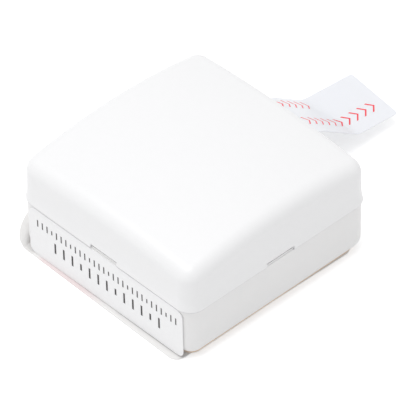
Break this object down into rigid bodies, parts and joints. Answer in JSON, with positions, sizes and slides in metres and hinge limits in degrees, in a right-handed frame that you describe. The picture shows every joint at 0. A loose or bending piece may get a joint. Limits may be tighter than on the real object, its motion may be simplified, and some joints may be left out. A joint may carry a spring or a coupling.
{
  "type": "glass break sensor",
  "caption": "Square stick-on glass break sensor: domed clip-on cover, base tray with bonding pad, vibration disc, radio board, coin cell and pull-out battery tab.",
  "frame": {"origin": "middle of the bonding face, at the underside of the release liner, on the housing's centre line", "axes": "+Z away from the glass through the cover's dome, -Y out of the labelled side, +Y the way the battery tab pulls out"},
  "size_m": [0.0455, 0.0718, 0.0236],
  "materials": {
    "cover_abs": "fine moulded satin, white ABS",
    "base_abs": "fine moulded satin, white ABS",
    "foam_adhesive": "soft matt foam with tacky faces",
    "liner_film": "thin siliconed film, slight pink tint",
    "label_paper": "matt white label stock",
    "tab_film": "clear milky polyester film",
    "board_laminate": "green solder mask over glass-epoxy laminate",
    "screw_steel": "zinc-plated",
    "cell_can_steel": "nickel-plated, drawn",
    "cell_cap_steel": "nickel-plated, pressed",
    "cell_seal_nylon": "moulded nylon",
    "holder_nylon": "moulded black nylon",
    "spring_steel": "nickel-plated spring strip",
    "disc_brass": "rolled brass",
    "disc_glue": "cured bonding film",
    "disc_ceramic": "silvered piezo ceramic",
    "lead_wire": "thin insulated wire",
    "chip_epoxy": "moulded epoxy",
    "leg_tin": "tin-plated",
    "saw_ceramic": "ceramic package with gold lid",
    "crystal_steel": "drawn can",
    "trimmer_ceramic": "white ceramic",
    "trimmer_brass": "plated rotor",
    "can_aluminium": "sleeveless can",
    "can_base_resin": "moulded base",
    "tantalum_resin": "yellow moulded resin",
    "resistor_glaze": "glazed chip",
    "capacitor_ceramic": "fired ceramic chip",
    "inductor_ferrite": "ferrite drum",
    "antenna_wire": "tinned copper wire"
  },
  "bodies": {
    "housing": {"base_tray": "base_abs", "adhesive_pad": "foam_adhesive", "side_label": "label_paper", "circuit_board": "board_laminate", "board_screws": "screw_steel", "coin_cell_can": "cell_can_steel", "coin_cell_seal": "cell_seal_nylon", "coin_cell_cap": "cell_cap_steel", "battery_holder": "holder_nylon", "battery_strap": "spring_steel", "battery_contact": "spring_steel", "piezo_adhesive": "disc_glue", "piezo_plate": "disc_brass", "piezo_ceramic": "disc_ceramic", "piezo_leads": "lead_wire", "microcontroller": "chip_epoxy", "microcontroller_legs": "leg_tin", "amplifier_chip": "chip_epoxy", "amplifier_legs": "leg_tin", "saw_resonator": "saw_ceramic", "rf_transistor": "chip_epoxy", "crystal_can": "crystal_steel", "trimmer_body": "trimmer_ceramic", "trimmer_rotor": "trimmer_brass", "capacitor_base": "can_base_resin", "electrolytic_capacitor": "can_aluminium", "tantalum_capacitor": "tantalum_resin", "chip_resistors": "resistor_glaze", "chip_capacitors": "capacitor_ceramic", "chip_inductor": "inductor_ferrite", "loop_antenna": "antenna_wire"},
    "cover": {"top_cover": "cover_abs"},
    "pull_tab": {"battery_pull_tab": "tab_film"},
    "liner": {"release_liner": "liner_film"}
  },
  "joints": [
    {"name": "cover_lift", "type": "slide", "parent": "housing", "child": "cover", "axis": [0, 0, 1], "range_m": [0, 0.03]},
    {"name": "tab_pull", "type": "slide", "parent": "housing", "child": "pull_tab", "axis": [0, 1, 0], "range_m": [0, 0.027]},
    {"name": "liner_peel", "type": "slide", "parent": "housing", "child": "liner", "axis": [0, -1, 0], "range_m": [0, 0.045]}
  ]
}
